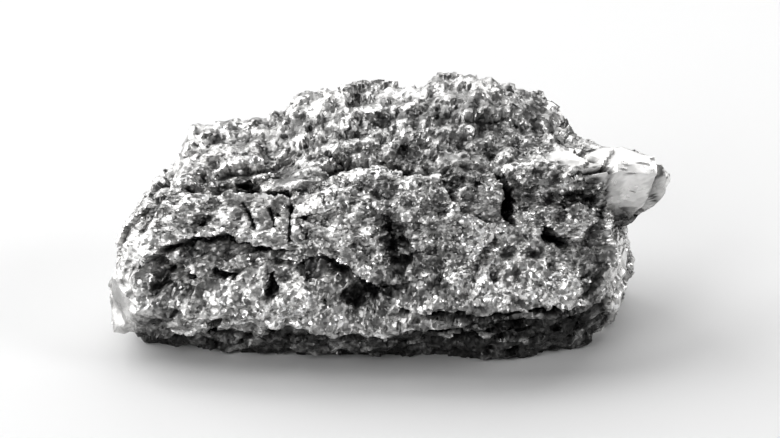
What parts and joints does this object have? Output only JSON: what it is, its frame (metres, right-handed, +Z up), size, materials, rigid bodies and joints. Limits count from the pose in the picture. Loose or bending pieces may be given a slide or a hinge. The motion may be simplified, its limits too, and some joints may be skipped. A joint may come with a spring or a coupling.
{
  "type": "beryllium metal piece",
  "caption": "Broken loaf-shaped lump of silvery beryllium metal with stacked crystal layers, ledges, flat facets and a level underside to rest on.",
  "frame": {"origin": "under the middle of the box, on the level underside", "axes": "+X along the length to the right as pictured, +Y to the back, +Z up"},
  "size_m": [0.05, 0.026, 0.0205],
  "materials": {
    "beryllium": "broken crystalline metal: bright flat facets, dark crevices"
  },
  "bodies": {
    "root": {"metal_piece": "beryllium"}
  },
  "joints": []
}
